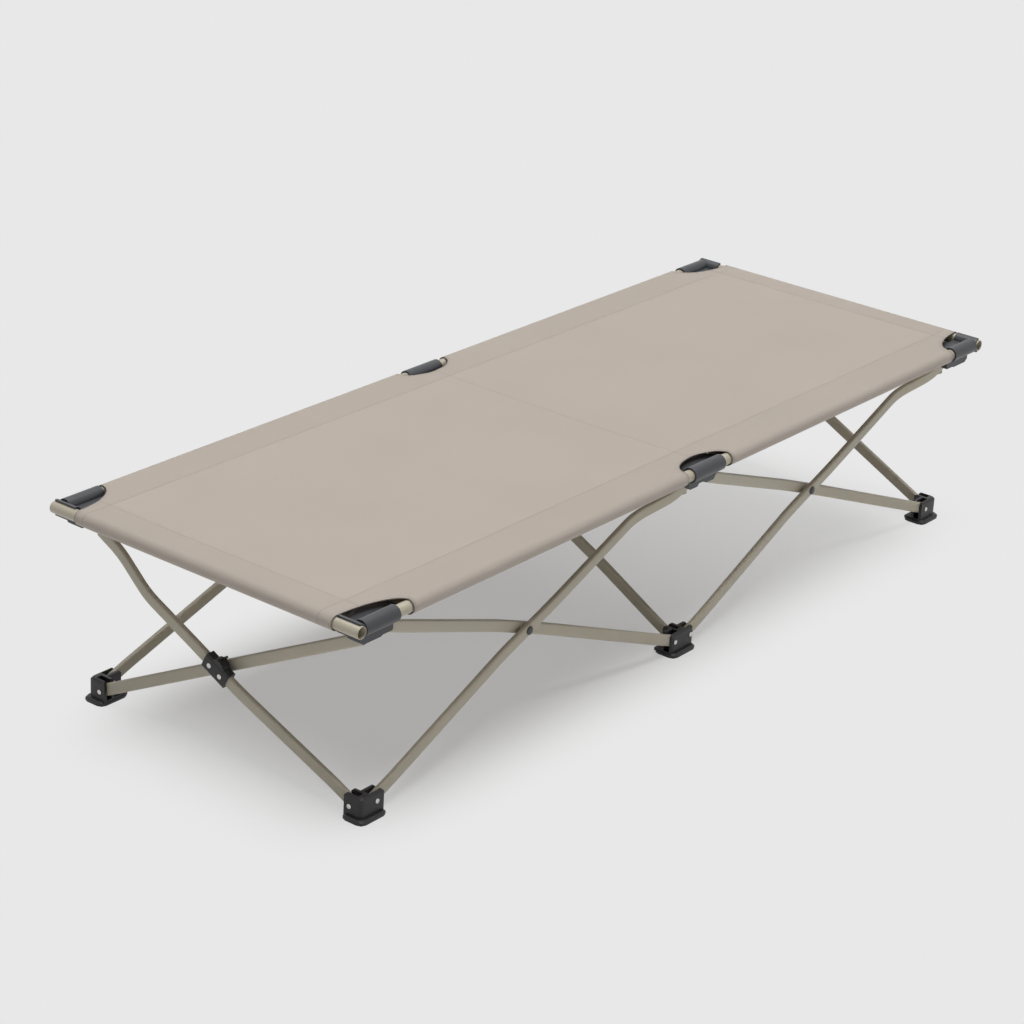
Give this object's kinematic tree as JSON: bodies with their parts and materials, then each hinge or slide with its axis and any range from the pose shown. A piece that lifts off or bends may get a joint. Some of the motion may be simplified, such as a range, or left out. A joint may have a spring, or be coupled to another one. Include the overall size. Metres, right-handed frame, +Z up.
{
  "type": "camp bed",
  "caption": "Folding camp bed: a taut fabric sling on side rails and end bars over crossed flat-oval struts with moulded feet and connectors.",
  "frame": {"origin": "on the floor below the middle of the bed", "axes": "+X to the tail end, +Y to the back side, +Z up"},
  "size_m": [1.9254, 0.704, 0.391],
  "materials": {
    "painted_steel": "satin powder coat",
    "black_plastic": "fine moulded",
    "rivet_steel": "plated",
    "fabric": "plain woven polyester"
  },
  "bodies": {
    "middle_front_foot": {"middle_front_foot": "black_plastic", "middle_front_foot_head_rivet": "rivet_steel", "middle_front_foot_tail_rivet": "rivet_steel"},
    "front_head_strut_from_middle": {"front_head_strut_from_middle": "painted_steel", "front_head_hub_pin": "rivet_steel"},
    "front_head_strut_from_corner": {"front_head_strut_from_corner": "painted_steel"},
    "head_front_foot": {"head_front_foot": "black_plastic", "head_front_foot_side_rivet": "rivet_steel", "head_front_foot_cross_rivet": "rivet_steel"},
    "head_front_connector": {"head_front_connector": "black_plastic"},
    "front_tail_strut_from_middle": {"front_tail_strut_from_middle": "painted_steel", "front_tail_hub_pin": "rivet_steel"},
    "front_tail_strut_from_corner": {"front_tail_strut_from_corner": "painted_steel"},
    "tail_front_foot": {"tail_front_foot": "black_plastic", "tail_front_foot_side_rivet": "rivet_steel", "tail_front_foot_cross_rivet": "rivet_steel"},
    "tail_front_connector": {"tail_front_connector": "black_plastic"},
    "middle_front_connector": {"middle_front_connector": "black_plastic", "front_rail_head": "painted_steel", "front_rail_tail": "painted_steel", "head_end_bar": "painted_steel", "tail_end_bar": "painted_steel", "fabric_sling": "fabric"},
    "back_head_strut_from_middle": {"back_head_strut_from_middle": "painted_steel", "back_head_hub_pin": "rivet_steel"},
    "back_head_strut_from_corner": {"back_head_strut_from_corner": "painted_steel"},
    "head_back_foot": {"head_back_foot": "black_plastic", "head_back_foot_side_rivet": "rivet_steel", "head_back_foot_cross_rivet": "rivet_steel"},
    "head_back_connector": {"head_back_connector": "black_plastic"},
    "back_tail_strut_from_middle": {"back_tail_strut_from_middle": "painted_steel", "back_tail_hub_pin": "rivet_steel"},
    "back_tail_strut_from_corner": {"back_tail_strut_from_corner": "painted_steel"},
    "tail_back_foot": {"tail_back_foot": "black_plastic", "tail_back_foot_side_rivet": "rivet_steel", "tail_back_foot_cross_rivet": "rivet_steel"},
    "tail_back_connector": {"tail_back_connector": "black_plastic"},
    "middle_back_connector": {"middle_back_connector": "black_plastic", "back_rail_head": "painted_steel", "back_rail_tail": "painted_steel"},
    "middle_back_foot": {"middle_back_foot": "black_plastic", "middle_back_foot_head_rivet": "rivet_steel", "middle_back_foot_tail_rivet": "rivet_steel"},
    "head_cross_strut_from_front": {"head_cross_strut_from_front": "painted_steel", "head_cross_hub_pin": "rivet_steel", "head_knuckle_bracket": "black_plastic", "head_knuckle_lower_rivet": "rivet_steel", "head_knuckle_upper_rivet": "rivet_steel"},
    "head_cross_strut_from_back": {"head_cross_strut_from_back": "painted_steel"},
    "middle_cross_strut_from_front": {"middle_cross_strut_from_front": "painted_steel", "middle_cross_hub_pin": "rivet_steel"},
    "middle_cross_strut_from_back": {"middle_cross_strut_from_back": "painted_steel"},
    "tail_cross_strut_from_front": {"tail_cross_strut_from_front": "painted_steel", "tail_cross_hub_pin": "rivet_steel"},
    "tail_cross_strut_from_back": {"tail_cross_strut_from_back": "painted_steel", "tail_knuckle_bracket": "black_plastic", "tail_knuckle_lower_rivet": "rivet_steel", "tail_knuckle_upper_rivet": "rivet_steel"}
  },
  "joints": [
    {"name": "frame_fold", "type": "hinge", "parent": "middle_front_foot", "child": "front_head_strut_from_middle", "pos_m": [-0.024, -0.308, 0.029], "axis": [0, 1, 0], "range_deg": [0, 60], "deforming": ["fabric_sling"]},
    {"name": "front_head_scissor", "type": "hinge", "parent": "front_head_strut_from_middle", "child": "front_head_strut_from_corner", "pos_m": [-0.443, -0.291, 0.189], "axis": [0, 1, 0], "range_deg": [-120, 0]},
    {"name": "head_front_foot_level", "type": "hinge", "parent": "front_head_strut_from_corner", "child": "head_front_foot", "pos_m": [-0.862, -0.308, 0.029], "axis": [0, 1, 0], "range_deg": [0, 60]},
    {"name": "head_front_connector_level", "type": "hinge", "parent": "front_head_strut_from_middle", "child": "head_front_connector", "pos_m": [-0.862, -0.316, 0.349], "axis": [0, 1, 0], "range_deg": [-60, 0]},
    {"name": "front_tail_strut_from_middle_swing", "type": "hinge", "parent": "middle_front_foot", "child": "front_tail_strut_from_middle", "pos_m": [0.024, -0.308, 0.029], "axis": [0, 1, 0], "range_deg": [-60, 0]},
    {"name": "front_tail_scissor", "type": "hinge", "parent": "front_tail_strut_from_middle", "child": "front_tail_strut_from_corner", "pos_m": [0.443, -0.291, 0.189], "axis": [0, 1, 0], "range_deg": [0, 120]},
    {"name": "tail_front_foot_level", "type": "hinge", "parent": "front_tail_strut_from_corner", "child": "tail_front_foot", "pos_m": [0.862, -0.308, 0.029], "axis": [0, 1, 0], "range_deg": [-60, 0]},
    {"name": "tail_front_connector_level", "type": "hinge", "parent": "front_tail_strut_from_middle", "child": "tail_front_connector", "pos_m": [0.862, -0.316, 0.349], "axis": [0, 1, 0], "range_deg": [0, 60]},
    {"name": "middle_front_connector_level", "type": "hinge", "parent": "front_head_strut_from_corner", "child": "middle_front_connector", "pos_m": [-0.024, -0.316, 0.349], "axis": [0, 1, 0], "range_deg": [0, 60]},
    {"name": "middle_cross_swing", "type": "hinge", "parent": "middle_front_foot", "child": "middle_cross_strut_from_front", "pos_m": [0, -0.293, 0.024], "axis": [1, 0, 0], "range_deg": [0, 51.9]},
    {"name": "middle_cross_scissor", "type": "hinge", "parent": "middle_cross_strut_from_front", "child": "middle_cross_strut_from_back", "pos_m": [0, 0, 0.1745], "axis": [1, 0, 0], "range_deg": [-103.8, 0]},
    {"name": "middle_back_foot_level", "type": "hinge", "parent": "middle_cross_strut_from_back", "child": "middle_back_foot", "pos_m": [0, 0.293, 0.024], "axis": [1, 0, 0], "range_deg": [0, 51.9]},
    {"name": "back_head_strut_from_middle_swing", "type": "hinge", "parent": "middle_back_foot", "child": "back_head_strut_from_middle", "pos_m": [-0.024, 0.308, 0.029], "axis": [0, 1, 0], "range_deg": [0, 60]},
    {"name": "back_head_scissor", "type": "hinge", "parent": "back_head_strut_from_middle", "child": "back_head_strut_from_corner", "pos_m": [-0.443, 0.291, 0.189], "axis": [0, 1, 0], "range_deg": [-120, 0]},
    {"name": "head_back_foot_level", "type": "hinge", "parent": "back_head_strut_from_corner", "child": "head_back_foot", "pos_m": [-0.862, 0.308, 0.029], "axis": [0, 1, 0], "range_deg": [0, 60]},
    {"name": "head_back_connector_level", "type": "hinge", "parent": "back_head_strut_from_middle", "child": "head_back_connector", "pos_m": [-0.862, 0.316, 0.349], "axis": [0, 1, 0], "range_deg": [-60, 0]},
    {"name": "back_tail_strut_from_middle_swing", "type": "hinge", "parent": "middle_back_foot", "child": "back_tail_strut_from_middle", "pos_m": [0.024, 0.308, 0.029], "axis": [0, 1, 0], "range_deg": [-60, 0]},
    {"name": "back_tail_scissor", "type": "hinge", "parent": "back_tail_strut_from_middle", "child": "back_tail_strut_from_corner", "pos_m": [0.443, 0.291, 0.189], "axis": [0, 1, 0], "range_deg": [0, 120]},
    {"name": "tail_back_foot_level", "type": "hinge", "parent": "back_tail_strut_from_corner", "child": "tail_back_foot", "pos_m": [0.862, 0.308, 0.029], "axis": [0, 1, 0], "range_deg": [-60, 0]},
    {"name": "tail_back_connector_level", "type": "hinge", "parent": "back_tail_strut_from_middle", "child": "tail_back_connector", "pos_m": [0.862, 0.316, 0.349], "axis": [0, 1, 0], "range_deg": [0, 60]},
    {"name": "middle_back_connector_level", "type": "hinge", "parent": "back_head_strut_from_corner", "child": "middle_back_connector", "pos_m": [-0.024, 0.316, 0.349], "axis": [0, 1, 0], "range_deg": [0, 60]},
    {"name": "head_cross_swing", "type": "hinge", "parent": "head_front_foot", "child": "head_cross_strut_from_front", "pos_m": [-0.889, -0.293, 0.024], "axis": [1, 0, 0], "range_deg": [0, 51.9]},
    {"name": "head_cross_scissor", "type": "hinge", "parent": "head_cross_strut_from_front", "child": "head_cross_strut_from_back", "pos_m": [-0.889, 0, 0.1745], "axis": [1, 0, 0], "range_deg": [-103.8, 0]},
    {"name": "tail_cross_swing", "type": "hinge", "parent": "tail_front_foot", "child": "tail_cross_strut_from_front", "pos_m": [0.889, -0.293, 0.024], "axis": [1, 0, 0], "range_deg": [0, 51.9]},
    {"name": "tail_cross_scissor", "type": "hinge", "parent": "tail_cross_strut_from_front", "child": "tail_cross_strut_from_back", "pos_m": [0.889, 0, 0.1745], "axis": [1, 0, 0], "range_deg": [-103.8, 0]}
  ],
  "couplings": [
    {"joint": "front_head_scissor", "follows": "frame_fold", "ratio": -2},
    {"joint": "head_front_foot_level", "follows": "frame_fold", "ratio": 1},
    {"joint": "head_front_connector_level", "follows": "frame_fold", "ratio": -1},
    {"joint": "front_tail_strut_from_middle_swing", "follows": "frame_fold", "ratio": -1},
    {"joint": "front_tail_scissor", "follows": "frame_fold", "ratio": 2},
    {"joint": "tail_front_foot_level", "follows": "frame_fold", "ratio": -1},
    {"joint": "tail_front_connector_level", "follows": "frame_fold", "ratio": 1},
    {"joint": "middle_front_connector_level", "follows": "frame_fold", "ratio": 1},
    {"joint": "middle_cross_swing", "follows": "frame_fold", "ratio": 0.865},
    {"joint": "middle_cross_scissor", "follows": "frame_fold", "ratio": -1.73},
    {"joint": "middle_back_foot_level", "follows": "frame_fold", "ratio": 0.865},
    {"joint": "back_head_strut_from_middle_swing", "follows": "frame_fold", "ratio": 1},
    {"joint": "back_head_scissor", "follows": "frame_fold", "ratio": -2},
    {"joint": "head_back_foot_level", "follows": "frame_fold", "ratio": 1},
    {"joint": "head_back_connector_level", "follows": "frame_fold", "ratio": -1},
    {"joint": "back_tail_strut_from_middle_swing", "follows": "frame_fold", "ratio": -1},
    {"joint": "back_tail_scissor", "follows": "frame_fold", "ratio": 2},
    {"joint": "tail_back_foot_level", "follows": "frame_fold", "ratio": -1},
    {"joint": "tail_back_connector_level", "follows": "frame_fold", "ratio": 1},
    {"joint": "middle_back_connector_level", "follows": "frame_fold", "ratio": 1},
    {"joint": "head_cross_swing", "follows": "frame_fold", "ratio": 0.865},
    {"joint": "head_cross_scissor", "follows": "frame_fold", "ratio": -1.73},
    {"joint": "tail_cross_swing", "follows": "frame_fold", "ratio": 0.865},
    {"joint": "tail_cross_scissor", "follows": "frame_fold", "ratio": -1.73}
  ]
}
